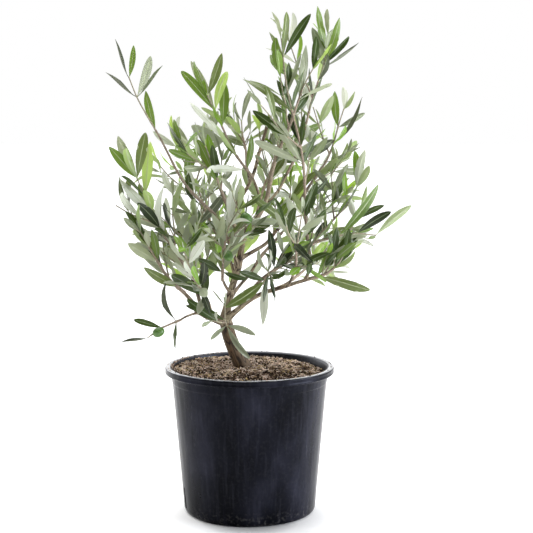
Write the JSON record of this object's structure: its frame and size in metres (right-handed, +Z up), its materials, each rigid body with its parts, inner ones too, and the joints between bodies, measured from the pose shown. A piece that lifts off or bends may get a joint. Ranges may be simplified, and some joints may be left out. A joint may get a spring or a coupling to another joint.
{
  "type": "potted olive bonsai",
  "caption": "Small olive tree with a short leaning trunk, spreading boughs and an open airy crown of slender leaves, growing in a round tapered nursery pot with a rolled rim.",
  "frame": {"origin": "centre of the pot's flat underside, on the surface that the pot stands on", "axes": "+Z up along the pot's axis; +X to the right and -Y towards the viewer in the front view"},
  "size_m": [0.4189, 0.3332, 0.711],
  "materials": {
    "pot": "satin black moulded plastic",
    "soil": "rough fibrous potting compost",
    "bark": "matt finely fissured bark",
    "leaf": "smooth waxy leaf"
  },
  "bodies": {
    "root": {"pot": "pot", "soil": "soil", "trunk": "bark", "bough_left": "bark", "bough_left_low": "bark", "bough_left_outer": "bark", "bough_left_upper": "bark", "bough_left_inner": "bark", "bough_left_back": "bark", "bough_left_front": "bark", "bough_central": "bark", "bough_centre_right": "bark", "bough_centre_left": "bark", "bough_top_centre": "bark", "bough_upper_centre": "bark", "bough_upper_left": "bark", "bough_far_left": "bark", "bough_back_left": "bark", "bough_front_left": "bark", "bough_right_back": "bark", "bough_right_top": "bark", "bough_back_centre": "bark", "bough_top_right": "bark", "bough_right": "bark", "bough_right_front": "bark", "bough_upper_right": "bark", "bough_right_mid": "bark", "bough_front": "bark", "bough_back": "bark", "bough_back_right": "bark", "bough_right_low": "bark", "bough_front_right": "bark", "foliage_left_low": "leaf", "foliage_left_outer": "leaf", "foliage_left_upper": "leaf", "foliage_left_inner": "leaf", "foliage_left_back": "leaf", "foliage_left_front": "leaf", "foliage_centre_left": "leaf", "foliage_upper_centre": "leaf", "foliage_upper_left": "leaf", "foliage_far_left": "leaf", "foliage_back_left": "leaf", "foliage_front_left": "leaf", "foliage_right_top": "leaf", "foliage_back_centre": "leaf", "foliage_top_right": "leaf", "foliage_centre_right": "leaf", "foliage_right": "leaf", "foliage_right_front": "leaf", "foliage_upper_right": "leaf", "foliage_right_mid": "leaf", "foliage_front": "leaf", "foliage_low_front": "leaf", "foliage_back": "leaf", "foliage_back_right": "leaf", "foliage_right_low": "leaf", "foliage_front_right": "leaf"}
  },
  "joints": []
}
